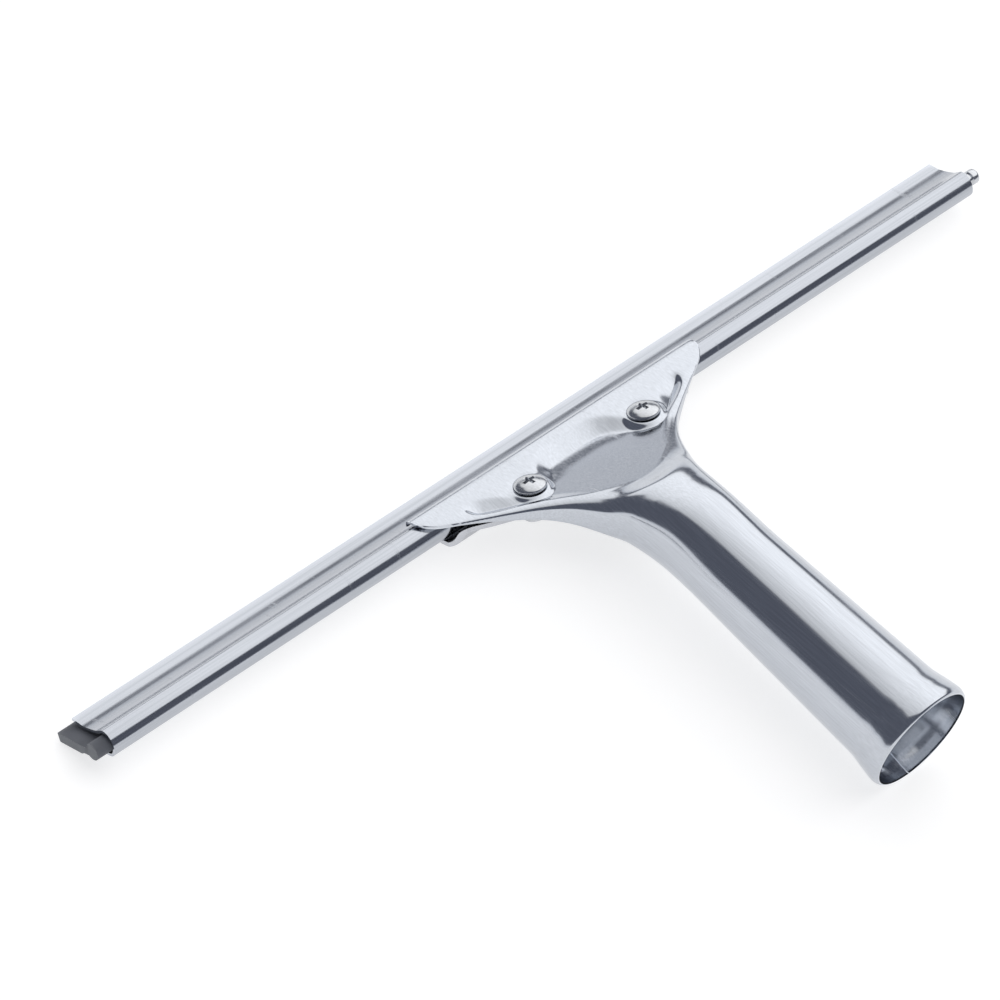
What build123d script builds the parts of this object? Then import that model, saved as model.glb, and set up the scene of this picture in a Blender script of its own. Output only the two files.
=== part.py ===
from build123d import *
import math
import os

# Window cleaning squeegee, in millimetres. +Z is up with the squeegee lying on
# its blade and its handle's mouth, X runs along the channel and the blade is
# towards +Y. The channel's own profile is drawn in (rear, up): rear is the
# distance back from the flange's front edge, up is square to the flange.

# --- how the squeegee lies ---
LAY_ANGLE = 23.7          # the flange rises this much towards the handle
TUBE_SLOPE = 3.0          # the tube's axis falls this much towards its mouth
FRONT_Y = 80.415         # the flange's front edge
FRONT_Z = 5.27

# --- channel ---
CHANNEL_LENGTH = 350.0
CHANNEL_SHEET = 0.9

# --- rubber blade and its clip ---
RUBBER_LEFT_END = -180.0
RUBBER_RIGHT_END = 174.6
BEAD_RIGHT_END = 166.0
BEAD_REAR = 14.3
BEAD_UP = -2.8
BEAD_RADIUS = 2.6
CLIP_RADIUS = 2.5
CLIP_INNER_END = 166.6
CLIP_OUTER_END = 180.0
CLIP_REAR = 14.4
CLIP_UP = -2.2
CLIP_SLOT = 0.8

# --- handle ---
HANDLE_SHEET = 1.2
PLATE_HALF_WIDTH = 57.6
MOUTH_TO_FRONT = 160.0    # the mouth's centre behind the flange's front edge
FLARE_RADIUS = 18.0
FLARE_DEPTH = 2.2         # depths are measured in from the mouth
SOCKET_RADIUS = 15.1
SOCKET_START = 11.0
SOCKET_LENGTH = 12.0
TUBE_LENGTH = 92.2
TUBE_MOUTH_RADIUS = 16.6
TUBE_NECK_RADIUS = 14.0
SECTION_POINTS = 48

# --- clamp ---
SCREW_HALF_SPACING = 23.1
SCREW_REAR = 26.8
SEAT_UP = 0.9
BOSS_RADIUS = 6.6
SCREW_RADIUS = 2.45
SCREW_TIP_UP = -10.2
PLATE_HOLE_RADIUS = 2.7
HEAD_RADIUS = 5.1
HEAD_HEIGHT = 2.3
HEAD_DOME_RADIUS = 8.0
HEAD_GAP = 0.05
RECESS_WIDTH = 1.1
RECESS_SPAN = 5.0
RECESS_DEPTH = 1.3
JAW_HALF_WIDTH = 49.0
JAW_SHEET = 1.5
JAW_PLATE_UP = -3.4
JAW_HOLE_RADIUS = 2.8
NUT_ACROSS_FLATS = 8.0
NUT_HEIGHT = 4.0
NUT_HOLE_RADIUS = 2.52

LAY = math.radians(LAY_ANGLE)
REARWARD = (0.0, -math.cos(LAY), math.sin(LAY))
UPWARD = (0.0, math.sin(LAY), math.cos(LAY))
SLOPE = math.radians(TUBE_SLOPE)
OUTWARD = (0.0, -math.cos(SLOPE), -math.sin(SLOPE))
MOUTH = (0.0, FRONT_Y - MOUTH_TO_FRONT, FLARE_RADIUS * math.cos(SLOPE) - FLARE_DEPTH * math.sin(SLOPE))


def place(x, rear, up):
    """A point of the channel's frame, in the squeegee's own frame."""
    return (
        x,
        FRONT_Y + rear * REARWARD[1] + up * UPWARD[1],
        FRONT_Z + rear * REARWARD[2] + up * UPWARD[2],
    )


def profile_plane(x):
    """The plane across the channel at x, drawn in (rear, up)."""
    return Plane(origin=place(x, 0, 0), x_dir=REARWARD, z_dir=(-1, 0, 0))


def bar(profile, right_end, left_end):
    """A profile drawn in (rear, up), run along X from its right end to its left."""
    return extrude(profile_plane(right_end) * profile, amount=right_end - left_end)


def upright(x, rear, up):
    """A plane parallel to the flange, with its normal upward."""
    return Plane(origin=place(x, rear, up), x_dir=(1, 0, 0), z_dir=UPWARD)


def sheet_profile(points, thickness):
    """A bent sheet's section: a path and its parallel, thickness to its right."""
    path = [Vector(*point) for point in points]
    normals = [(end - start).normalized().rotate(Axis.Z, -90) for start, end in zip(path, path[1:])]
    parallel = []
    for here, before, after in zip(path, [normals[0]] + normals, normals + [normals[-1]]):
        parallel.append(here + (before + after) * (thickness / (1 + before.dot(after))))
    return make_face(Polyline(*path, *reversed(parallel), close=True))


# --- channel, rubber and clip ---

def build_channel():
    flange = [(0, 0), (3.7, -0.25), (4.4, -0.85), (7.6, -1.15), (10.2, -0.5)]
    barrel = [(12.0, 0.9), (13.9, 1.5), (16.0, 1.05), (17.6, -0.5), (18.2, -2.6), (17.8, -4.9), (16.5, -6.5)]
    lip = [(14.4, -7.0), (12.0, -6.7), (5.0, -6.7), (3.6, -7.1)]
    points = flange + barrel + lip
    return bar(sheet_profile(points, CHANNEL_SHEET), CHANNEL_LENGTH / 2, -CHANNEL_LENGTH / 2)


def build_rubber():
    blade = Polygon(
        (-1.1, -2.4), (-0.8, -5.4), (9.2, -5.4), (10.4, -4.7), (13.6, -4.7), (13.6, -2.6), (9.0, -2.5), align=None
    )
    bead = Pos(BEAD_REAR, BEAD_UP) * Circle(BEAD_RADIUS)
    strip = bar(blade, RUBBER_RIGHT_END, RUBBER_LEFT_END)
    cord = bar(bead, BEAD_RIGHT_END, RUBBER_LEFT_END)
    notch = Pos(BEAD_REAR, BEAD_UP) * Rectangle(2 * BEAD_RADIUS + 1.0, 2 * BEAD_RADIUS + 1.0)
    return strip + cord - bar(notch, RUBBER_RIGHT_END + 1.0, BEAD_RIGHT_END)


def build_clip():
    plug = bar(Pos(CLIP_REAR, CLIP_UP) * Circle(CLIP_RADIUS), CLIP_OUTER_END, CLIP_INNER_END)
    plug = fillet(plug.edges().filter_by(GeomType.CIRCLE), 0.7)
    slot = Pos(CLIP_REAR, CLIP_UP) * Rectangle(3 * CLIP_RADIUS, CLIP_SLOT)
    return plug - bar(slot, CLIP_INNER_END + 6.0, CLIP_INNER_END - 1.0)


# --- handle ---

def oval(half_width, top, bottom, power):
    """A closed outline between an ellipse, at power 2, and a rounded rectangle."""
    middle = (top + bottom) / 2
    half_height = (top - bottom) / 2
    points = []
    for step in range(SECTION_POINTS):
        angle = 2 * math.pi * (step + 0.5) / SECTION_POINTS
        across = math.copysign(abs(math.cos(angle)) ** (2 / power), math.cos(angle))
        height = math.copysign(abs(math.sin(angle)) ** (2 / power), math.sin(angle))
        points.append((half_width * across, middle + half_height * height))
    return make_face(Polyline(*points, close=True))


def handle_section(rear, up, tilt, half_width, top, bottom, power):
    """An oval across the handle, on a plane that leans back by tilt degrees."""
    lean = math.radians(tilt)
    normal = [math.cos(lean) * r - math.sin(lean) * u for r, u in zip(REARWARD, UPWARD)]
    plane = Plane(origin=place(0, rear, up), x_dir=(1, 0, 0), z_dir=tuple(normal))
    return plane * oval(half_width, top, bottom, power)


# rear, up, tilt, half width, height above and below the section's middle, squareness
HANDLE_STATIONS = [
    (13.0, 2.45, 0.0, 57.6, 0.6, -0.6, 12.0),
    (16.5, 2.0, 0.0, 57.2, 0.6, -0.6, 12.0),
    (19.5, 1.35, 0.0, 54.0, 0.6, -0.6, 12.0),
    (22.5, 0.7, 0.0, 49.2, 0.6, -0.7, 10.0),
    (26.0, 0.0, 0.0, 42.8, 0.7, -1.4, 8.0),
    (30.0, -1.0, 1.0, 36.0, 1.3, -2.4, 7.0),
    (35.0, -2.5, 3.0, 28.8, 2.7, -3.4, 5.0),
    (42.0, -3.5, 8.0, 22.6, 4.2, -6.0, 4.0),
    (50.0, -5.2, 15.0, 18.4, 6.6, -8.8, 3.0),
    (58.0, -7.3, 22.0, 15.2, 10.6, -11.8, 2.4),
]
FIRST_HOLLOW_STATION = 3
LAST_OPEN_STATION = 8
OPEN_DROP = 6.0


def neck_section(depth, radius):
    """The tube's own round section, at a depth in from the mouth."""
    origin = tuple(m - depth * o for m, o in zip(MOUTH, OUTWARD))
    return Plane(origin=origin, x_dir=(1, 0, 0), z_dir=OUTWARD) * oval(radius, radius, -radius, 2.0)


def build_throat():
    """The fanned front of the handle, hollow and open underneath."""
    outer = [handle_section(*station) for station in HANDLE_STATIONS]
    outer.append(neck_section(TUBE_LENGTH - 2.0, TUBE_NECK_RADIUS - 0.1))
    inner = []
    for number, station in enumerate(HANDLE_STATIONS):
        if number < FIRST_HOLLOW_STATION:
            continue
        rear, up, tilt, half_width, top, bottom, power = station
        floor = bottom - OPEN_DROP if number <= LAST_OPEN_STATION else bottom + HANDLE_SHEET
        ceiling = top - HANDLE_SHEET
        inner.append(handle_section(rear, up, tilt, half_width - HANDLE_SHEET, ceiling, floor, power))
    bore = TUBE_NECK_RADIUS - HANDLE_SHEET + 0.1
    inner.append(neck_section(TUBE_LENGTH, bore))
    inner.append(neck_section(TUBE_LENGTH - 4.0, bore))
    return loft(outer, ruled=True) - loft(inner, ruled=True)


def build_tube():
    """The round grip, with a flared mouth and a straight stretch for a pole."""
    socket_end = SOCKET_START + SOCKET_LENGTH
    outside = Polyline(
        (16.6, 0), (17.5, 0.8), (FLARE_RADIUS, FLARE_DEPTH), (17.5, 5.6), (TUBE_MOUTH_RADIUS, 10.0),
        (TUBE_NECK_RADIUS, TUBE_LENGTH), (TUBE_NECK_RADIUS - HANDLE_SHEET, TUBE_LENGTH)
    )
    inside = Polyline(
        (TUBE_NECK_RADIUS - HANDLE_SHEET, TUBE_LENGTH), (14.9, socket_end + 4.0), (SOCKET_RADIUS, socket_end),
        (SOCKET_RADIUS, SOCKET_START), (16.2, 4.5), (16.2, 2.0), (16.6, 0)
    )
    inward = tuple(-part for part in OUTWARD)
    plane = Plane(origin=MOUTH, x_dir=(1, 0, 0), z_dir=(0, -inward[2], inward[1]))
    profile = plane * make_face(outside + inside)
    return revolve(profile, axis=Axis(MOUTH, inward))


def build_lip():
    """The plate's front edge, bent down over the channel's barrel."""
    points = [(15.0, 2.85), (13.2, 3.05), (11.4, 2.65), (10.4, 1.65), (10.2, 0.65), (11.1, 0.65)]
    inner = [(11.3, 1.35), (12.0, 1.8), (13.2, 1.9), (15.0, 1.7)]
    lip = Polygon(*points, *inner, align=None)
    return bar(lip, PLATE_HALF_WIDTH, -PLATE_HALF_WIDTH)


def build_handle():
    handle = build_tube() + build_throat() + build_lip()
    for side in (-1, 1):
        x = side * SCREW_HALF_SPACING
        seat = upright(x, SCREW_REAR, SEAT_UP)
        handle += extrude(seat * Circle(BOSS_RADIUS), amount=-HANDLE_SHEET - 0.6)
        handle -= extrude(seat * Circle(PLATE_HOLE_RADIUS), amount=-HANDLE_SHEET - 2.0)
        handle -= extrude(seat * Circle(BOSS_RADIUS + 0.5), amount=3.0)
    return handle


# --- clamp ---

def build_jaw():
    """The lower plate that hooks under the barrel and bears on the handle behind the screws."""
    points = [(12.6, -8.9), (18.0, -8.9), (20.2, -7.4), (21.6, -4.4), (23.4, JAW_PLATE_UP - JAW_SHEET)]
    points += [(33.0, JAW_PLATE_UP - JAW_SHEET), (35.2, -2.9)]
    profile = sheet_profile(points, -JAW_SHEET)
    blank = bar(profile, JAW_HALF_WIDTH, -JAW_HALF_WIDTH)
    outline = [(-49, -10), (-49, -21), (-40, -25.5), (-27, -32), (-21, -38)]
    outline += [(-x, y) for x, y in reversed(outline)]
    blade = extrude(upright(0, 0, -20) * make_face(Polyline(*outline, close=True)), amount=30)
    jaw = blank & blade
    for side in (-1, 1):
        hole = upright(side * SCREW_HALF_SPACING, SCREW_REAR, 0) * Circle(JAW_HOLE_RADIUS)
        jaw -= extrude(hole, amount=-12)
    return jaw


def build_screw(side):
    x = side * SCREW_HALF_SPACING
    seat = upright(x, SCREW_REAR, SEAT_UP + HEAD_GAP)
    head = extrude(seat * Circle(HEAD_RADIUS), amount=HEAD_HEIGHT)
    dome = Pos(*place(x, SCREW_REAR, SEAT_UP + HEAD_GAP + HEAD_HEIGHT - HEAD_DOME_RADIUS)) * Sphere(HEAD_DOME_RADIUS)
    head = head & dome
    top = upright(x, SCREW_REAR, SEAT_UP + HEAD_GAP + HEAD_HEIGHT)
    cross = Rectangle(RECESS_SPAN, RECESS_WIDTH) + Rectangle(RECESS_WIDTH, RECESS_SPAN)
    head -= extrude(top * cross, amount=-RECESS_DEPTH)
    shank = extrude(seat * Circle(SCREW_RADIUS), amount=SCREW_TIP_UP - SEAT_UP)
    return head + shank


def build_nut(side):
    x = side * SCREW_HALF_SPACING
    face = upright(x, SCREW_REAR, JAW_PLATE_UP - JAW_SHEET)
    hexagon = RegularPolygon(NUT_ACROSS_FLATS / 2, 6, major_radius=False) - Circle(NUT_HOLE_RADIUS)
    return extrude(face * hexagon, amount=-NUT_HEIGHT)


def build_parts():
    parts = {
        "channel": build_channel(),
        "rubber_blade": build_rubber(),
        "rubber_clip": build_clip(),
        "handle_shell": build_handle(),
        "lower_jaw": build_jaw(),
    }
    for name, side in (("left", -1), ("right", 1)):
        parts[f"clamp_screw_{name}"] = build_screw(side)
        parts[f"clamp_nut_{name}"] = build_nut(side)
    return parts


if __name__ == "__main__":
    os.makedirs("parts", exist_ok=True)
    for node, shape in build_parts().items():
        export_step(shape, f"parts/{node}.step")
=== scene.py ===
import math

import bmesh
import bpy
import numpy as np
from mathutils import Matrix, Vector


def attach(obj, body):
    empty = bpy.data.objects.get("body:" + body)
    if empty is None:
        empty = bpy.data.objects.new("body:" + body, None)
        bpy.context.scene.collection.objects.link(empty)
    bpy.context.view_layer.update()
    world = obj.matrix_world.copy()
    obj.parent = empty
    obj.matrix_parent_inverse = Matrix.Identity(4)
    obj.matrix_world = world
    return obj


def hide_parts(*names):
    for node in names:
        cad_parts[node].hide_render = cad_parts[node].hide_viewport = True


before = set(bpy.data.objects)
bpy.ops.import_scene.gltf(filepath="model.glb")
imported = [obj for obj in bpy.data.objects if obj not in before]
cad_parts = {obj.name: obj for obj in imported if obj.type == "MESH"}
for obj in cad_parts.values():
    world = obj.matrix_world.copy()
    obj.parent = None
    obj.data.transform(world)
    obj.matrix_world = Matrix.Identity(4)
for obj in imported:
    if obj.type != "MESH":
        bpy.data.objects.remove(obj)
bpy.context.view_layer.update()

# Lengths below are in millimetres unless a name says otherwise. The clamp and the channel
# are drawn in (x, rear, up): rear is the distance back from the flange's front edge and up
# is square to the flange.
MM = 0.001
LAY = math.radians(23.7)
FRONT_Y = 80.415
FRONT_Z = 5.27

# --- camera, in metres and degrees ---
CAMERA_AZIMUTH = -51.2
CAMERA_ELEVATION = 49.6
CAMERA_ROLL = 10.25
CAMERA_DISTANCE = 1.462
CAMERA_TARGET = Vector((-0.0324, 0.0589, 0.015))
CAMERA_LENS = 182.5
SENSOR_WIDTH = 36.0

# --- studio ---
SOFTBOX_DIRECTION = (0.451, 0.159, 0.879)
SOFTBOX_EDGE = (0.655, 0.715)
SOFTBOX_MIDDLE = 1.06      # its strength straight above, which grows towards +X
SOFTBOX_SLOPE = 0.78
SOFTBOX_REACH = (-0.45, 0.6)
ROOM_COLOR = (0.134, 0.144, 0.178, 1.0)
BACKDROP_COLOR = (0.94, 0.96, 1.0, 1.0)
BACKDROP_EDGE = (0.058, 0.098)      # the white backdrop ends this far above the horizon
LOW_PANEL_DIRECTION = (0.42, 0.74, 0.52)
LOW_PANEL_EDGE = (0.915, 0.945)
FLOOR_COLOR = 0.5
FLOOR_GLOW = 0.72

# --- handle ---
SHEET = 1.2
MOUTH_REAR = 151.567
MOUTH_UP = -52.784
TUBE_LEAN = 26.7
ACROSS_STEPS = 240
CLOSE_STEPS = 3000
FLAT_HEIGHT = 0.6          # a section no taller than this is flat: its sides have no thickness
FLAT_FADE = 1.2
EDGE_INSET = 0.05
SCREW_HALF_SPACING = 23.1
SCREW_REAR = 26.8
SEAT_UP = 0.9
SEAT_SLOPE = 0.07
SEAT_RADII = (7.0, 5.3)    # a seat fades in from the first radius and is flat inside the second
POCKET_REAR = 54.0         # the pocket's floor climbs to here, at this slope
POCKET_REAR_UP = 1.4
POCKET_SLOPE = 0.099
POCKET_RAMP = 4.2          # the ramp down into the pocket from the front
RAMP_EASE = 12.0           # the last part of the ramp's depth comes slowly, over this length
RAMP_EASE_SHARE = 0.12
SOFT_EDGE = (-0.2, 4.5)    # the pocket's other sides, measured inward from its outline
FRONT_FADE = (30.0, 24.0)  # the ramp takes over from the soft side between these rears
RAMP_ROUNDING = 0.10
CREST_REAR = 59.5          # where the pocket ends in a low crest across the throat
CREST_BOW = 0.027
CREST_REACH = 7.0
CREST_HEIGHT = 0.5
CREST_ROUNDING = 0.008
CREST_SIDES = (0.5, 0.3)   # shares of the way round the section between which the crest fades


def to_metres(points):
    """(x, rear, up) in millimetres, to the squeegee's own frame in metres."""
    points = np.asarray(points, dtype=float)
    x = points[..., 0]
    rear = points[..., 1]
    up = points[..., 2]
    y = FRONT_Y - rear * math.cos(LAY) + up * math.sin(LAY)
    z = FRONT_Z + rear * math.sin(LAY) + up * math.cos(LAY)
    return np.stack([x, y, z], axis=-1) * MM


def smooth_step(low, high, value):
    t = np.clip((value - low) / (high - low), 0.0, 1.0)
    return t * t * (3 - 2 * t)


def smooth_table(table, positions):
    """Rows of a table against their own distance, read at other distances without overshoot."""
    table = np.asarray(table, dtype=float)
    steps = np.hypot(np.diff(table[:, 0]), np.diff(table[:, 1]))
    knots = np.concatenate([[0.0], np.cumsum(steps)])
    slopes = np.diff(table, axis=0) / steps[:, None]
    tangents = np.zeros_like(table)
    tangents[0] = slopes[0]
    tangents[-1] = slopes[-1]
    before = slopes[:-1]
    after = slopes[1:]
    same = before * after > 0
    total = np.where(same, before + after, 1.0)
    tangents[1:-1] = np.where(same, 2 * before * after / total, 0.0)
    where = np.clip(np.searchsorted(knots, positions * knots[-1], side="right") - 1, 0, len(steps) - 1)
    width = steps[where][:, None]
    t = (positions * knots[-1] - knots[where])[:, None] / width
    start = table[where]
    end = table[where + 1]
    hermite = (2 * t**3 - 3 * t**2 + 1) * start + (t**3 - 2 * t**2 + t) * width * tangents[where]
    return hermite + (3 * t**2 - 2 * t**3) * end + (t**3 - t**2) * width * tangents[where + 1]


def closed_object(name, vertices, faces):
    """An object whose mesh has all its faces looking outward."""
    mesh = bpy.data.meshes.new(name)
    mesh.from_pydata([tuple(vertex) for vertex in vertices], [], faces)
    mesh.validate()
    work = bmesh.new()
    work.from_mesh(mesh)
    bmesh.ops.recalc_face_normals(work, faces=work.faces)
    work.to_mesh(mesh)
    work.free()
    made = bpy.data.objects.new(name, mesh)
    bpy.context.collection.objects.link(made)
    return made


def new_piece(name, vertices, faces, body, node, material, smooth_angle=35.0):
    """A closed mesh that stands for a CAD node and rides on its body."""
    piece = closed_object(name, vertices, faces)
    mesh = piece.data
    for polygon in mesh.polygons:
        polygon.use_smooth = True
    mesh.set_sharp_from_angle(angle=math.radians(smooth_angle))
    mesh.materials.append(material)
    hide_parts(node)
    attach(piece, body)
    return piece


def strip_faces(rows, columns, first=0, wrap=False, flip=False):
    """Quads between the rows of a grid of points numbered from first."""
    faces = []
    last = columns if wrap else columns - 1
    for row in range(rows - 1):
        for column in range(last):
            nxt = (column + 1) % columns
            a = first + row * columns + column
            b = first + row * columns + nxt
            c = a + columns
            d = b + columns
            faces.append((a, c, d, b) if flip else (a, b, d, c))
    return faces


def rounded_path(points, cut=0.5, steps=4):
    """An open path with each corner turned into a short curve."""
    points = np.asarray(points, dtype=float)
    path = [points[0]]
    for before, here, after in zip(points, points[1:], points[2:]):
        start = here + (before - here) * min(cut, 0.5)
        end = here + (after - here) * min(cut, 0.5)
        for step in range(steps + 1):
            t = step / steps
            path.append((1 - t) ** 2 * start + 2 * t * (1 - t) * here + t**2 * end)
    path.append(points[-1])
    kept = [path[0]]
    for point in path[1:]:
        if np.hypot(*(point - kept[-1])) > 1e-4:
            kept.append(point)
    return np.array(kept)


def beside(path, thickness):
    """The parallel of a path, thickness to its right, point for point."""
    steps = np.diff(path, axis=0)
    steps /= np.hypot(steps[:, 0], steps[:, 1])[:, None]
    normals = np.stack([steps[:, 1], -steps[:, 0]], axis=1)
    before = np.vstack([normals[:1], normals])
    after = np.vstack([normals, normals[-1:]])
    dots = np.sum(before * after, axis=1)
    return path + (before + after) * (thickness / (1 + dots))[:, None]


def closed_loop(outer, inner):
    return np.vstack([outer, inner[::-1]])


def sweep(loop, stations, place_x):
    """A closed loop of (rear, up) points run along X. place_x turns a station into a point's X."""
    count = len(loop)
    vertices = []
    for x in stations:
        for number, (rear, up) in enumerate(loop):
            vertices.append((place_x(x, number), rear, up))
    faces = strip_faces(len(stations), count, wrap=True)
    return vertices, faces


def sheet_ends(count, rows):
    """Quads that close both ends of a bent sheet whose loop runs out and back."""
    faces = []
    path = count // 2
    for base in (0, (rows - 1) * count):
        for step in range(path - 1):
            a = base + step
            b = base + step + 1
            c = base + count - 2 - step
            d = base + count - 1 - step
            faces.append((a, b, c, d))
    return faces


# --- materials ---

class Nodes:
    """A small helper that builds a material's node tree."""

    def __init__(self, name):
        self.material = bpy.data.materials.new(name)
        self.material.use_nodes = True
        self.tree = self.material.node_tree
        self.shader = self.tree.nodes["Principled BSDF"]
        self.place = self.add("ShaderNodeTexCoord").outputs["Object"]

    def add(self, kind, **settings):
        node = self.tree.nodes.new(kind)
        for key, value in settings.items():
            setattr(node, key, value)
        return node

    def link(self, source, target):
        self.tree.links.new(source, target)

    def noise(self, scale, stretch=(1, 1, 1), detail=4.0, turn=(0, 0, 0)):
        mapping = self.add("ShaderNodeMapping")
        mapping.inputs["Scale"].default_value = stretch
        mapping.inputs["Rotation"].default_value = turn
        self.link(self.place, mapping.inputs["Vector"])
        noise = self.add("ShaderNodeTexNoise")
        noise.inputs["Scale"].default_value = scale
        noise.inputs["Detail"].default_value = detail
        self.link(mapping.outputs["Vector"], noise.inputs["Vector"])
        return noise.outputs["Fac"]

    def ramp(self, source, low, high, start=0.35, end=0.65):
        spread = self.add("ShaderNodeMapRange")
        spread.inputs["From Min"].default_value = start
        spread.inputs["From Max"].default_value = end
        spread.inputs["To Min"].default_value = low
        spread.inputs["To Max"].default_value = high
        self.link(source, spread.inputs["Value"])
        return spread.outputs["Result"]

    def math(self, operation, first, second):
        node = self.add("ShaderNodeMath", operation=operation)
        for socket, value in zip(node.inputs, (first, second)):
            if isinstance(value, (int, float)):
                socket.default_value = value
            else:
                self.link(value, socket)
        return node.outputs["Value"]

    def mix(self, factor, first, second):
        node = self.add("ShaderNodeMix", data_type="RGBA")
        self.link(factor, node.inputs["Factor"])
        for socket, value in ((node.inputs[6], first), (node.inputs[7], second)):
            if isinstance(value, tuple):
                socket.default_value = value
            else:
                self.link(value, socket)
        return node.outputs[2]

    def bump(self, height, strength, distance, under=None):
        node = self.add("ShaderNodeBump")
        node.inputs["Strength"].default_value = strength
        node.inputs["Distance"].default_value = distance
        self.link(height, node.inputs["Height"])
        if under is not None:
            self.link(under, node.inputs["Normal"])
        return node.outputs["Normal"]


def steel(name, color, rough, grain, grain_scale, grain_strength, turn=(0, 0, 0)):
    """Stainless steel with a grain along its length, faint smudges, fine scratches and worn edges."""
    n = Nodes(name)
    n.shader.inputs["Metallic"].default_value = 1.0
    lines = n.noise(grain_scale, grain, 6.0, turn)
    smudge = n.noise(38.0, (1, 1, 1), 3.0)
    pits = n.noise(2600.0, (1, 1, 1), 2.0)
    scratches = n.noise(420.0, (1.0, 0.04, 0.3), 2.0, (0.2, 0.1, 0.7))
    scratch_mark = n.ramp(scratches, 0.0, 1.0, 0.66, 0.72)
    pointed = n.add("ShaderNodeNewGeometry").outputs["Pointiness"]
    worn = n.ramp(pointed, 0.0, 1.0, 0.53, 0.60)
    dark = tuple(c * 0.93 for c in color) + (1.0,)
    light = tuple(min(1.0, c * 1.05) for c in color) + (1.0,)
    bright = tuple(min(1.0, c * 1.22) for c in color) + (1.0,)
    streaked = n.mix(n.ramp(lines, 0.0, 1.0), dark, light)
    edged = n.mix(worn, streaked, bright)
    n.link(edged, n.shader.inputs["Base Color"])
    base = n.ramp(lines, rough * 0.85, rough * 1.2)
    hazy = n.math("ADD", base, n.ramp(smudge, 0.0, 0.06, 0.45, 0.75))
    scored = n.math("ADD", hazy, n.math("MULTIPLY", scratch_mark, 0.10))
    n.link(scored, n.shader.inputs["Roughness"])
    first = n.bump(lines, grain_strength, 0.00003)
    second = n.bump(pits, 0.05, 0.00001, first)
    third = n.bump(n.math("SUBTRACT", 1.0, scratch_mark), 0.12, 0.00001, second)
    n.link(third, n.shader.inputs["Normal"])
    return n.material


def rubber(name):
    """Matt moulded rubber: a fine skin texture, drawn lines along it and a dusty bloom."""
    n = Nodes(name)
    skin = n.noise(3200.0, (1, 1, 1), 5.0)
    drawn = n.noise(900.0, (0.02, 1, 1), 3.0)
    dust = n.noise(120.0, (1, 1, 1), 5.0)
    dusty = n.ramp(dust, 0.0, 1.0, 0.35, 0.75)
    color = n.mix(dusty, (0.105, 0.112, 0.130, 1.0), (0.150, 0.158, 0.178, 1.0))
    pointed = n.add("ShaderNodeNewGeometry").outputs["Pointiness"]
    worn = n.ramp(pointed, 0.0, 1.0, 0.52, 0.60)
    n.link(n.mix(worn, color, (0.20, 0.21, 0.225, 1.0)), n.shader.inputs["Base Color"])
    n.link(n.ramp(dust, 0.62, 0.82), n.shader.inputs["Roughness"])
    n.shader.inputs["Specular IOR Level"].default_value = 0.35
    first = n.bump(drawn, 0.20, 0.00004)
    n.link(n.bump(skin, 0.35, 0.00002, first), n.shader.inputs["Normal"])
    return n.material


HANDLE_STEEL = steel("handle_polished", (0.53, 0.555, 0.60), 0.14, (1.0, 0.03, 1.0), 2600.0, 0.03)
CHANNEL_STEEL = steel("channel_drawn", (0.455, 0.475, 0.515), 0.15, (0.012, 1.0, 1.0), 1600.0, 0.20)
JAW_STEEL = steel("jaw_satin", (0.47, 0.48, 0.51), 0.26, (1.0, 0.06, 1.0), 1100.0, 0.12)
SCREW_STEEL = steel("screw_bright", (0.55, 0.565, 0.59), 0.16, (1.0, 1.0, 1.0), 1500.0, 0.06)
CLIP_STEEL = steel("clip_bright", (0.56, 0.575, 0.60), 0.14, (1.0, 0.3, 0.3), 1500.0, 0.06)
RUBBER = rubber("blade_rubber")


# --- handle: one pressed and rolled sheet ---

# rear, up, lean, half width, height above and below the middle, squareness, wrap below the
# middle in degrees, sheet thickness
LIP_STATIONS = [
    (10.62, 0.70, -86.0, 57.6, 0.42, -0.42, 14.0, 0.0, 0.84),
    (10.72, 1.30, -80.0, 57.6, 0.45, -0.45, 14.0, 0.0, 0.90),
    (11.10, 1.88, -58.0, 57.6, 0.48, -0.48, 14.0, 0.0, 0.96),
    (11.80, 2.27, -30.0, 57.6, 0.50, -0.50, 14.0, 0.0, 1.00),
    (12.80, 2.46, -6.0, 57.6, 0.52, -0.52, 14.0, 0.0, 1.04),
    (13.90, 2.42, 6.0, 57.5, 0.54, -0.54, 14.0, 0.0, 1.08),
]
PLATE_STATIONS = [
    (15.2, 2.20, 7.0, 57.3, 0.58, -0.58, 14.0, 0.0, 1.16),
    (16.5, 2.00, 6.0, 56.6, 0.6, -0.6, 13.0, 0.0, 1.2),
    (19.5, 1.35, 3.0, 54.0, 0.6, -0.6, 12.0, 4.0, 1.2),
    (22.5, 0.70, 0.0, 49.2, 0.6, -0.7, 10.0, 12.0, 1.2),
    (26.0, 0.00, 0.0, 42.8, 0.7, -1.4, 8.0, 28.0, 1.2),
    (30.0, -1.00, 1.0, 36.0, 1.3, -2.4, 7.0, 38.0, 1.2),
    (35.0, -2.50, 3.0, 28.8, 2.7, -3.4, 5.8, 44.0, 1.2),
    (42.0, -3.50, 8.0, 22.6, 4.2, -6.0, 4.7, 50.0, 1.2),
    (50.0, -5.20, 15.0, 18.4, 6.6, -8.8, 3.6, 60.0, 1.2),
    (58.0, -7.30, 22.0, 15.2, 10.6, -11.8, 2.7, 84.0, 1.2),
]
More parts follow.
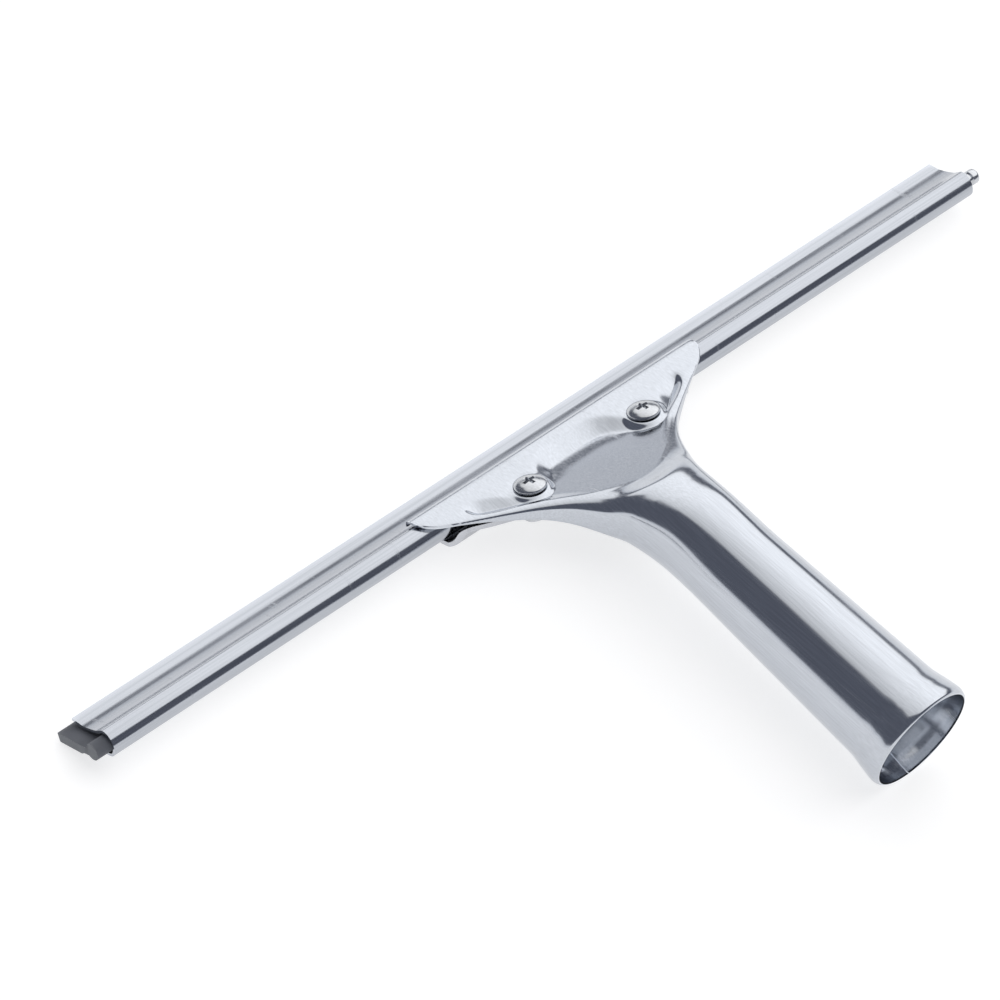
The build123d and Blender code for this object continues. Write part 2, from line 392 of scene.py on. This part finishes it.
# depth in from the mouth, outer radius, sheet thickness
TUBE_STATIONS = [
    (90.2, 13.9, 1.2), (72.0, 14.5, 1.2), (52.0, 15.2, 1.2), (32.0, 15.85, 1.2), (20.0, 16.25, 1.2),
    (12.5, 16.5, 1.25), (6.4, 17.45, 1.45), (2.2, 17.99, 1.2), (0.5, 17.55, 0.6), (0.03, 17.0, 0.25),
]
LIP_ROWS = 26
PLATE_ROWS = 170
TUBE_ROWS = 80
RIM_ROWS = 60
RIM_STATIONS = 5           # the last stations, from the flare's start to the mouth
DIMPLE_DEPTH = 6.2
DIMPLE_ANGLES = (150.0, 30.0, 245.0)
DIMPLE_RADIUS = 1.8
DIMPLE_PRESS = 0.5

# the pressed pocket behind the screws: its outline, right half, as (x, rear)
POCKET_OUTLINE = [
    (0.0, 16.1), (5.0, 16.1), (10.5, 17.0), (14.8, 19.8), (17.8, 24.0), (20.5, 28.5), (25.0, 30.5),
    (29.5, 27.0), (33.0, 22.5), (38.5, 19.2), (43.6, 19.8), (42.6, 24.4), (35.8, 29.0),
    (28.0, 33.2), (23.0, 38.5), (19.5, 44.0), (17.0, 50.0), (13.5, 54.5), (8.0, 57.6), (0.0, 59.0),
]


def handle_table():
    lean = math.radians(TUBE_LEAN)
    rows = [list(row) for row in LIP_STATIONS + PLATE_STATIONS]
    for depth, radius, sheet in TUBE_STATIONS:
        rear = MOUTH_REAR - depth * math.cos(lean)
        up = MOUTH_UP + depth * math.sin(lean)
        power = 2.0 if depth < 88 else 2.25
        rows.append([rear, up, TUBE_LEAN, radius, radius, -radius, power, 89.4, sheet])
    return rows


def handle_rows():
    """Station parameters at close steps from the lip to the mouth."""
    table = handle_table()
    count = len(LIP_STATIONS) + len(PLATE_STATIONS)
    whole = np.asarray(table, dtype=float)
    lengths = np.hypot(np.diff(whole[:, 0]), np.diff(whole[:, 1]))
    knots = np.concatenate([[0.0], np.cumsum(lengths)]) / lengths.sum()
    lip = np.linspace(0.0, knots[len(LIP_STATIONS)], LIP_ROWS)[:-1]
    plate = np.linspace(knots[len(LIP_STATIONS)], knots[count], PLATE_ROWS)[:-1]
    tube = np.linspace(knots[count], knots[-RIM_STATIONS], TUBE_ROWS)[:-1]
    rim = np.linspace(knots[-RIM_STATIONS], 1.0, RIM_ROWS)
    return smooth_table(whole, np.concatenate([lip, plate, tube, rim]))


def section(half_width, middle, half_height, power, wrap):
    """A rounded section as (across, height) points, evenly spaced along it."""
    end = math.atan(max(math.tan(math.radians(wrap)), 0.0) ** (2 / power))
    angle = -end + np.linspace(0.0, 1.0, CLOSE_STEPS) * (math.pi + 2 * end)
    reach = (np.abs(np.cos(angle)) ** power + np.abs(np.sin(angle)) ** power) ** (-1 / power)
    across = half_width * reach * np.cos(angle)
    height = middle + half_height * reach * np.sin(angle)
    run = np.concatenate([[0.0], np.cumsum(np.hypot(np.diff(across), np.diff(height)))])
    even = np.linspace(0.0, 1.0, ACROSS_STEPS + 1) * run[-1]
    return np.interp(even, run, across), np.interp(even, run, height)


def handle_skin(rows, inner):
    """One side of the sheet as a grid of (x, rear, up)."""
    grid = []
    for rear, up, lean, half_width, top, bottom, power, wrap, sheet in rows:
        middle = (top + bottom) / 2
        half_height = (top - bottom) / 2
        if inner:
            tall = float(np.clip((half_height - FLAT_HEIGHT) / FLAT_FADE, 0.0, 1.0))
            half_width = half_width - sheet * tall - EDGE_INSET
            half_height = half_height - sheet
        across, height = section(half_width, middle, half_height, power, wrap)
        spread = np.radians(lean)
        station = [across, rear + height * np.sin(spread), up + height * np.cos(spread)]
        grid.append(np.stack(station, axis=-1))
    return np.array(grid)


def outline_distance(x, rear, outline):
    """Distance inside a closed outline, negative outside."""
    points = np.asarray(outline, dtype=float)
    ends = np.roll(points, -1, axis=0)
    nearest = np.full(x.shape, 1e9)
    inside = np.zeros(x.shape, dtype=bool)
    for (ax, ar), (bx, br) in zip(points, ends):
        dx = bx - ax
        dr = br - ar
        t = np.clip(((x - ax) * dx + (rear - ar) * dr) / (dx * dx + dr * dr), 0.0, 1.0)
        nearest = np.minimum(nearest, np.hypot(x - ax - t * dx, rear - ar - t * dr))
        crosses = (ar > rear) != (br > rear)
        safe = np.where(dr == 0, 1.0, dr)
        inside ^= crosses & (x < ax + (rear - ar) * dx / safe)
    return np.where(inside, nearest, -nearest)


def soft_ramp(t):
    """Rises from 0 to 1 in a straight line, with a small rounding at each end."""
    rise = 0.5 * (t + np.sqrt(t * t + RAMP_ROUNDING**2))
    return np.maximum(0.5 * (rise + 1.0 - np.sqrt((rise - 1.0) ** 2 + RAMP_ROUNDING**2)), 0.0)


def press_plate(grid):
    """Presses the pocket, the low crest behind it and the two screw seats into the plate."""
    x = grid[..., 0]
    rear = grid[..., 1]
    right = rounded_path(POCKET_OUTLINE, 0.45, 4)
    outline = np.vstack([right, right[1:-1][::-1] * (-1, 1)])
    inside = outline_distance(x, rear, outline)
    columns = np.linspace(-1.0, 1.0, grid.shape[1])[None, :]
    on_top = smooth_step(*CREST_SIDES, np.abs(columns) + 0 * x)
    front = smooth_step(*FRONT_FADE, rear)
    soft_edge = smooth_step(*SOFT_EDGE, inside)
    ramp = (1 - RAMP_EASE_SHARE) * soft_ramp(inside / POCKET_RAMP)
    crisp_edge = ramp + RAMP_EASE_SHARE * smooth_step(0.0, RAMP_EASE, inside)
    edge = soft_edge + (crisp_edge - soft_edge) * front
    under = skin_offset(grid)
    floor = POCKET_REAR_UP - (POCKET_REAR - rear) * POCKET_SLOPE - under
    depth = np.maximum(grid[..., 2] - floor, 0.0)
    shift = -depth * edge
    from_crest = (rear - CREST_REAR + CREST_BOW * x * x) / CREST_REACH
    crest = np.maximum(1.0 - np.sqrt(from_crest**2 + CREST_ROUNDING), 0.0)
    shift += CREST_HEIGHT * crest * on_top
    for side in (-1, 1):
        away = np.hypot(x - side * SCREW_HALF_SPACING, rear - SCREW_REAR)
        seat = smooth_step(*SEAT_RADII, away)
        level = SEAT_UP - SEAT_SLOPE * (rear - SCREW_REAR) - under - grid[..., 2]
        shift = shift * (1 - seat) + level * seat
    grid[..., 2] += shift
    return grid


def skin_offset(grid):
    """How far this side of the sheet lies under the seats' upper face: none on the upper side."""
    middle = grid[:, grid.shape[1] // 2, :]
    row = int(np.argmin(np.abs(middle[:, 1] - SCREW_REAR) + np.where(middle[:, 1] > 60, 99, 0)))
    return 0.0 if middle[row, 2] > 0.2 else SHEET


def press_dimples(grid, first_row):
    """Small nubs raised inward near the mouth, which grip a pole."""
    lean = math.radians(TUBE_LEAN)
    axis = np.array([0.0, math.cos(lean), -math.sin(lean)])
    top = np.array([0.0, math.sin(lean), math.cos(lean)])
    mouth = np.array([0.0, MOUTH_REAR, MOUTH_UP])
    tube = grid[first_row:]
    depth = -(tube - mouth) @ axis
    radial = tube - mouth + depth[..., None] * axis
    radius = np.linalg.norm(radial, axis=-1)
    unit = radial / radius[..., None]
    for angle in DIMPLE_ANGLES:
        turn = math.radians(angle)
        centre = np.array([math.cos(turn), 0.0, 0.0]) + math.sin(turn) * top
        along = depth - DIMPLE_DEPTH
        round_it = np.arccos(np.clip(unit @ centre, -1.0, 1.0)) * radius
        away = np.hypot(along, round_it)
        press = DIMPLE_PRESS * smooth_step(DIMPLE_RADIUS, 0.5, away)
        tube -= unit * press[..., None]
    grid[first_row:] = tube
    return grid


def build_handle():
    rows = handle_rows()
    outer = handle_skin(rows, False)
    inner = handle_skin(rows, True)
    rim_start = len(rows) - RIM_ROWS
    outer = press_plate(outer)
    inner = press_dimples(press_plate(inner), rim_start)
    count = len(rows)
    columns = ACROSS_STEPS + 1
    vertices = np.vstack([to_metres(outer).reshape(-1, 3), to_metres(inner).reshape(-1, 3)])
    offset = count * columns
    faces = strip_faces(count, columns)
    faces += strip_faces(count, columns, offset, flip=True)
    for row in range(count - 1):
        for column in (0, columns - 1):
            a = row * columns + column
            b = a + columns
            faces.append((a, b, b + offset, a + offset))
    for row in (0, count - 1):
        for column in range(columns - 1):
            a = row * columns + column
            faces.append((a, a + 1, a + 1 + offset, a + offset))
    return new_piece("handle", vertices, faces, "handle", "handle_shell", HANDLE_STEEL)


# --- channel ---

CHANNEL_PATH = [
    (0.0, 0.0), (3.6, -0.64), (4.1, -0.70), (5.3, -0.67), (6.7, -0.57), (8.2, -0.38), (9.6, -0.14),
    (10.9, 0.17), (12.2, 0.72), (13.3, 1.26), (14.1, 1.48), (15.4, 1.3), (16.6, 0.6), (17.5, -0.6),
    (18.05, -2.2),
    (18.05, -3.8), (17.6, -5.3), (16.6, -6.4), (15.0, -6.95), (12.0, -6.7), (5.0, -6.7), (3.6, -7.1),
]
CHANNEL_HALF = 175.0
CHANNEL_SHEET = 0.9


def build_channel():
    outer = rounded_path(CHANNEL_PATH, 0.42, 4)
    inner = beside(outer, CHANNEL_SHEET)
    loop = closed_loop(outer, inner)
    stations = [-CHANNEL_HALF, -CHANNEL_HALF + 0.15]
    stations += list(np.linspace(-CHANNEL_HALF + 2, CHANNEL_HALF - 2, 60))
    stations += [CHANNEL_HALF - 0.15, CHANNEL_HALF]
    vertices, faces = sweep(loop, stations, lambda x, number: x)
    faces += sheet_ends(len(loop), len(stations))
    return new_piece("channel", to_metres(vertices), faces, "channel", "channel",
                     CHANNEL_STEEL, 25.0)


# --- rubber blade and its clip ---

RUBBER_LOOP = [
    (-1.1, -2.42), (-1.05, -3.2), (-0.82, -5.2), (-0.6, -5.38), (4.0, -5.4), (9.0, -5.4), (9.6, -5.1),
    (10.3, -4.75), (11.2, -4.68), (12.3, -4.65),
]
BEAD_CENTRE = (14.3, -2.8)
BEAD_RADIUS = 2.6
BEAD_STEPS = 20
RUBBER_ENDS = (-180.0, 174.6)
BEAD_END = 166.0
TAIL_OVERLAP = 0.3
TAIL_LOOP = [
    (-1.1, -2.42), (-1.05, -3.2), (-0.82, -5.2), (-0.6, -5.38), (9.0, -5.4), (10.3, -4.75),
    (11.2, -4.6), (11.2, -2.5), (4.0, -2.46),
]


def rubber_loop():
    bead = []
    for step in range(BEAD_STEPS + 1):
        angle = math.radians(222.0 + 262.0 * step / BEAD_STEPS)
        rear = BEAD_CENTRE[0] + BEAD_RADIUS * math.cos(angle)
        up = BEAD_CENTRE[1] + BEAD_RADIUS * math.sin(angle)
        bead.append((rear, up))
    neck = [(12.9, -0.85), (12.2, -1.7), (11.2, -2.35), (9.0, -2.5), (4.0, -2.46), (0.0, -2.42)]
    return np.array(RUBBER_LOOP + bead + neck)


def cap_ends(work, count, rows):
    """Closes both ends of a swept loop with triangles."""
    work.verts.ensure_lookup_table()
    for base in (0, (rows - 1) * count):
        ends = [work.verts[base + number] for number in range(count)]
        face = work.faces.new(ends)
        bmesh.ops.triangulate(work, faces=[face], ngon_method="EAR_CLIP")


def add_tail(work):
    """The blade goes on to its right end without the bead, which makes room for the clip."""
    tail = [(x, rear, up) for x in (BEAD_END - TAIL_OVERLAP, RUBBER_ENDS[1]) for rear, up in TAIL_LOOP]
    made = [work.verts.new(tuple(point)) for point in to_metres(tail)]
    size = len(TAIL_LOOP)
    for number in range(size):
        nxt = (number + 1) % size
        work.faces.new((made[number], made[nxt], made[size + nxt], made[size + number]))
    work.faces.new(made[:size])
    work.faces.new(made[size:])


def build_rubber():
    loop = rubber_loop()
    stations = [RUBBER_ENDS[0], RUBBER_ENDS[0] + 0.12] + list(np.linspace(-178, BEAD_END, 50))
    vertices, faces = sweep(loop, stations, lambda x, number: x)
    mesh = bpy.data.meshes.new("rubber_strip")
    mesh.from_pydata([tuple(vertex) for vertex in to_metres(vertices)], [], faces)
    work = bmesh.new()
    work.from_mesh(mesh)
    cap_ends(work, len(loop), len(stations))
    add_tail(work)
    work.to_mesh(mesh)
    work.free()
    vertices = [vertex.co[:] for vertex in mesh.vertices]
    faces = [tuple(polygon.vertices) for polygon in mesh.polygons]
    bpy.data.meshes.remove(mesh)
    return new_piece("rubber", vertices, faces, "rubber", "rubber_blade", RUBBER, 25.0)


CLIP_CENTRE = (14.4, -2.2)
# distance along X, radius
CLIP_PROFILE = [
    (166.7, 0.0), (166.7, 1.7), (166.9, 2.1), (167.4, 2.4), (168.0, 2.48), (174.6, 2.48), (175.6, 2.4),
    (175.9, 2.1), (176.1, 1.9), (176.9, 1.9), (177.1, 2.1), (177.35, 2.4), (177.7, 2.48), (179.2, 2.48),
    (179.6, 2.38), (179.85, 2.15), (179.97, 1.8), (179.97, 0.9), (179.6, 0.7), (179.55, 0.0),
]


def lathe(profile, steps, place):
    """A closed turned shape. place maps (along, radius, angle) to (x, rear, up)."""
    vertices = []
    for along, radius in profile:
        for step in range(steps):
            vertices.append(place(along, max(radius, 0.002), 2 * math.pi * step / steps))
    faces = strip_faces(len(profile), steps, wrap=True)
    for base in (0, (len(profile) - 1) * steps):
        faces.append(tuple(range(base, base + steps)))
    return vertices, faces


def build_clip():
    def place(along, radius, angle):
        rear = CLIP_CENTRE[0] + radius * math.cos(angle)
        up = CLIP_CENTRE[1] + radius * math.sin(angle)
        return (along, rear, up)
    vertices, faces = lathe(CLIP_PROFILE, 40, place)
    return new_piece("clip", to_metres(vertices), faces, "clip", "rubber_clip", CLIP_STEEL)


# --- clamp jaw ---

JAW_PATH = [
    (12.6, -8.9), (15.0, -8.95), (18.0, -8.9), (19.4, -8.3), (20.4, -7.0), (21.2, -5.4), (22.2, -4.95),
    (23.6, -4.9), (28.0, -4.9), (33.0, -4.9), (35.0, -3.1),
]
JAW_SHEET = 1.5
# rear, half width
JAW_OUTLINE = [
    (12.0, 48.4), (13.0, 49.0), (17.5, 49.0), (20.5, 46.0), (25.5, 38.5), (32.0, 27.0), (36.0, 22.5),
]
JAW_STEPS = 64


def build_jaw():
    outer = rounded_path(JAW_PATH, 0.45, 4)
    inner = beside(outer, -JAW_SHEET)
    loop = closed_loop(outer, inner)
    rears = [row[0] for row in JAW_OUTLINE]
    widths = [row[1] for row in JAW_OUTLINE]
    half = [float(np.interp(rear, rears, widths)) for rear, up in loop]
    shares = [-1.0, -0.996] + list(np.linspace(-0.98, 0.98, JAW_STEPS)) + [0.996, 1.0]
    vertices, faces = sweep(loop, shares, lambda share, number: share * half[number])
    faces += sheet_ends(len(loop), len(shares))
    return new_piece("jaw", to_metres(vertices), faces, "jaw", "lower_jaw", JAW_STEEL)


# --- screws and nuts ---

# height above the seat, radius
HEAD_PROFILE = [
    (0.0, 2.6), (0.05, 4.6), (0.12, 4.95), (0.35, 5.08), (0.75, 5.08), (1.0, 4.95), (1.25, 4.66),
    (1.5, 4.22), (1.72, 3.7), (1.9, 3.1), (2.05, 2.45), (2.16, 1.8), (2.24, 1.1), (2.28, 0.5), (2.29, 0.0),
]
SHANK_RADIUS = 2.45
THREAD_DEPTH = 0.42
THREAD_PITCH = 0.8
THREAD_STEPS = 28
THREAD_ROWS_PER_TURN = 10
THREAD_PLAIN = 1.6         # the plain length under the head
TIP_LENGTH = 0.7           # the shank's end narrows over this length
TIP_TAPER = 0.45
SHANK_LENGTH = 11.05
HEAD_LIFT = 0.05           # the head's rim stands this far off its seat
SHANK_OVERLAP = 0.02
RECESS_WIDTH = 1.3
RECESS_SPAN = 5.2
RECESS_DEPTH = 1.4
RECESS_OVERSHOOT = 0.6


def square_to_seat(side, bottom):
    def place(along, radius, angle):
        x = side * SCREW_HALF_SPACING + radius * math.cos(angle)
        return (x, SCREW_REAR + radius * math.sin(angle), bottom + along)
    return place


def bar_corners(side, top, turn):
    """The eight corners of one tapered bar of the cross recess, its upper end first."""
    c = math.cos(math.radians(turn))
    s = math.sin(math.radians(turn))
    corners = []
    for level, share in ((top + RECESS_OVERSHOOT, 1.06), (top - RECESS_DEPTH, 0.52)):
        for end, edge in ((-1, -1), (1, -1), (1, 1), (-1, 1)):
            along = end * RECESS_SPAN / 2 * share
            across = edge * RECESS_WIDTH / 2 * (0.7 + 0.3 * share)
            x = side * SCREW_HALF_SPACING + along * c - across * s
            rear = SCREW_REAR + along * s + across * c
            corners.append(tuple(to_metres((x, rear, level))))
    return corners


def cross_cutter(name, side, top):
    """Two tapered bars that cross at right angles, to cut the recess with."""
    work = bmesh.new()
    for turn in (0, 90):
        ring = [work.verts.new(corner) for corner in bar_corners(side, top, turn)]
        work.faces.new(ring[:4])
        work.faces.new(ring[4:])
        for number in range(4):
            nxt = (number + 1) % 4
            work.faces.new((ring[number], ring[nxt], ring[4 + nxt], ring[4 + number]))
    bmesh.ops.recalc_face_normals(work, faces=work.faces)
    mesh = bpy.data.meshes.new(name)
    work.to_mesh(mesh)
    work.free()
    cutter = bpy.data.objects.new(name, mesh)
    bpy.context.collection.objects.link(cutter)
    return cutter


def apply_boolean(piece, cutter):
    modifier = piece.modifiers.new("recess", "BOOLEAN")
    modifier.object = cutter
    modifier.operation = "DIFFERENCE"
    modifier.solver = "EXACT"
    modifier.use_self = True
    graph = bpy.context.evaluated_depsgraph_get()
    mesh = bpy.data.meshes.new_from_object(piece.evaluated_get(graph))
    vertices = [vertex.co[:] for vertex in mesh.vertices]
    faces = [tuple(polygon.vertices) for polygon in mesh.polygons]
    for used in (cutter, piece):
        bpy.data.objects.remove(used)
    return vertices, faces


def threaded_shank(side, top):
    """A helical thread run down from the head, as a closed grid."""
    place = square_to_seat(side, top)
    steps = THREAD_STEPS
    rows = int(SHANK_LENGTH / THREAD_PITCH * THREAD_ROWS_PER_TURN)
    vertices = []
    for row in range(rows + 1):
        along = -SHANK_LENGTH * row / rows
        near_end = min(1.0, (SHANK_LENGTH + along) / TIP_LENGTH)
        for step in range(steps):
            phase = (along / THREAD_PITCH + step / steps) % 1.0
            tooth = abs(2 * phase - 1)
            radius = SHANK_RADIUS - THREAD_DEPTH * (1 - tooth) - TIP_TAPER * (1 - near_end)
            if along > -THREAD_PLAIN:
                radius = SHANK_RADIUS - THREAD_DEPTH * 0.5
            vertices.append(place(along, radius, 2 * math.pi * step / steps))
    faces = strip_faces(rows + 1, steps, wrap=True)
    for base in (0, rows * steps):
        faces.append(tuple(range(base, base + steps)))
    return vertices, faces


def build_screw(name, side):
    seat = SEAT_UP + HEAD_LIFT
    vertices, faces = lathe(HEAD_PROFILE, 64, square_to_seat(side, seat))
    blank = closed_object("head_blank", to_metres(vertices), faces)
    head, head_faces = apply_boolean(blank, cross_cutter("cross", side, seat + HEAD_PROFILE[-1][0]))
    shank, shank_faces = threaded_shank(side, seat + SHANK_OVERLAP)
    offset = len(head)
    vertices = list(head) + [tuple(vertex) for vertex in to_metres(shank)]
    faces = head_faces + [tuple(index + offset for index in face) for face in shank_faces]
    return new_piece("screw_" + name, vertices, faces, "screw_" + name, "clamp_screw_" + name,
                     SCREW_STEEL, 40.0)


NUT_TOP = -4.92
NUT_HEIGHT = 3.95
NUT_FLAT = 3.98
NUT_CHAMFER = 3.95
NUT_HOLE = 2.52
HOLE_CHAMFER = 0.3
NUT_STEPS = 96
NUT_LEVELS = [0.0, 0.1, 0.22, 0.36, 0.6, 2.0, 3.35, 3.59, 3.73, 3.85, NUT_HEIGHT]


def nut_outline(angle, level):
    """The hexagon's radius, cut back near both faces by the chamfer's cone."""
    sixth = math.pi / 3
    local = (angle + sixth / 2) % sixth - sixth / 2
    hexagon = NUT_FLAT / math.cos(local)
    from_face = min(level, NUT_HEIGHT - level)
    return min(hexagon, NUT_CHAMFER + from_face * 1.9)


def build_nut(name, side):
    place = square_to_seat(side, NUT_TOP - NUT_HEIGHT)
    turns = [2 * math.pi * step / NUT_STEPS for step in range(NUT_STEPS)]
    rows = [[(level, nut_outline(turn, level)) for turn in turns] for level in NUT_LEVELS]
    rows.append([(NUT_HEIGHT, NUT_HOLE + HOLE_CHAMFER)] * NUT_STEPS)
    rows.append([(NUT_HEIGHT - HOLE_CHAMFER, NUT_HOLE)] * NUT_STEPS)
    rows.append([(HOLE_CHAMFER, NUT_HOLE)] * NUT_STEPS)
    rows.append([(0.0, NUT_HOLE + HOLE_CHAMFER)] * NUT_STEPS)
    rows.append(rows[0])
    vertices = []
    for row in rows[:-1]:
        for step, (level, radius) in enumerate(row):
            vertices.append(place(level, radius, 2 * math.pi * step / NUT_STEPS))
    faces = strip_faces(len(rows) - 1, NUT_STEPS, wrap=True)
    last = (len(rows) - 2) * NUT_STEPS
    for step in range(NUT_STEPS):
        nxt = (step + 1) % NUT_STEPS
        faces.append((last + step, last + nxt, nxt, step))
    return new_piece("nut_" + name, to_metres(vertices), faces, "jaw", "clamp_nut_" + name,
                     SCREW_STEEL, 30.0)


# --- studio ---

def make_camera():
    azimuth = math.radians(CAMERA_AZIMUTH)
    elevation = math.radians(CAMERA_ELEVATION)
    back = Vector((
        math.sin(azimuth) * math.cos(elevation),
        -math.cos(azimuth) * math.cos(elevation),
        math.sin(elevation),
    ))
    data = bpy.data.cameras.new("camera")
    data.lens = CAMERA_LENS
    data.sensor_width = SENSOR_WIDTH
    camera = bpy.data.objects.new("camera", data)
    bpy.context.collection.objects.link(camera)
    level = back.to_track_quat("Z", "Y").to_matrix()
    camera.matrix_world = (
        Matrix.Translation(CAMERA_TARGET + CAMERA_DISTANCE * back)
        @ level.to_4x4()
        @ Matrix.Rotation(math.radians(CAMERA_ROLL), 4, "Z")
    )
    bpy.context.scene.camera = camera


def make_floor():
    bpy.ops.mesh.primitive_plane_add(size=8.0, location=(0, 0, -0.0002))
    floor = bpy.context.object
    floor.name = "floor"
    material = bpy.data.materials.new("floor_white")
    material.use_nodes = True
    shader = material.node_tree.nodes["Principled BSDF"]
    shader.inputs["Base Color"].default_value = (FLOOR_COLOR, FLOOR_COLOR, FLOOR_COLOR, 1)
    shader.inputs["Roughness"].default_value = 1.0
    shader.inputs["Specular IOR Level"].default_value = 0.0
    shader.inputs["Emission Color"].default_value = (1, 1, 1, 1)
    shader.inputs["Emission Strength"].default_value = FLOOR_GLOW
    floor.data.materials.append(material)


def spread_value(tree, source, reach, result=(0.0, 1.0), smooth=True):
    """Maps a value from one reach onto another."""
    node = tree.nodes.new("ShaderNodeMapRange")
    if smooth:
        node.interpolation_type = "SMOOTHSTEP"
    node.inputs["From Min"].default_value = reach[0]
    node.inputs["From Max"].default_value = reach[1]
    node.inputs["To Min"].default_value = result[0]
    node.inputs["To Max"].default_value = result[1]
    tree.links.new(source, node.inputs["Value"])
    return node.outputs["Result"]


def sky_cap(tree, direction, centre, edge):
    """1 inside a soft-edged round patch of the sky, 0 outside."""
    toward = tree.nodes.new("ShaderNodeVectorMath")
    toward.operation = "DOT_PRODUCT"
    toward.inputs[1].default_value = centre
    tree.links.new(direction, toward.inputs[0])
    return spread_value(tree, toward.outputs["Value"], edge)


def mix_colors(tree, factor, first, second):
    node = tree.nodes.new("ShaderNodeMix")
    node.data_type = "RGBA"
    tree.links.new(factor, node.inputs["Factor"])
    for socket, value in ((node.inputs[6], first), (node.inputs[7], second)):
        if isinstance(value, tuple):
            socket.default_value = value
        else:
            tree.links.new(value, socket)
    return node.outputs[2]


def make_lights():
    """A large softbox overhead and a low panel in a dim room, over a white backdrop."""
    world = bpy.data.worlds.new("studio")
    bpy.context.scene.world = world
    world.use_nodes = True
    tree = world.node_tree
    direction = tree.nodes.new("ShaderNodeTexCoord").outputs["Generated"]
    split = tree.nodes.new("ShaderNodeSeparateXYZ")
    tree.links.new(direction, split.inputs["Vector"])
    either = tree.nodes.new("ShaderNodeMath")
    either.operation = "MAXIMUM"
    tree.links.new(sky_cap(tree, direction, SOFTBOX_DIRECTION, SOFTBOX_EDGE), either.inputs[0])
    tree.links.new(sky_cap(tree, direction, LOW_PANEL_DIRECTION, LOW_PANEL_EDGE), either.inputs[1])
    strengths = [SOFTBOX_MIDDLE + x * SOFTBOX_SLOPE for x in SOFTBOX_REACH]
    glow = spread_value(tree, split.outputs["X"], SOFTBOX_REACH, strengths, smooth=False)
    above = spread_value(tree, split.outputs["Z"], BACKDROP_EDGE)
    around = mix_colors(tree, above, BACKDROP_COLOR, ROOM_COLOR)
    sky = mix_colors(tree, either.outputs["Value"], around, glow)
    tree.links.new(sky, tree.nodes["Background"].inputs["Color"])
    bpy.context.scene.view_settings.view_transform = "Standard"


build_handle()
build_channel()
build_rubber()
build_clip()
build_jaw()
for name, side in (("left", -1), ("right", 1)):
    build_screw(name, side)
    build_nut(name, side)
make_camera()
make_floor()
make_lights()
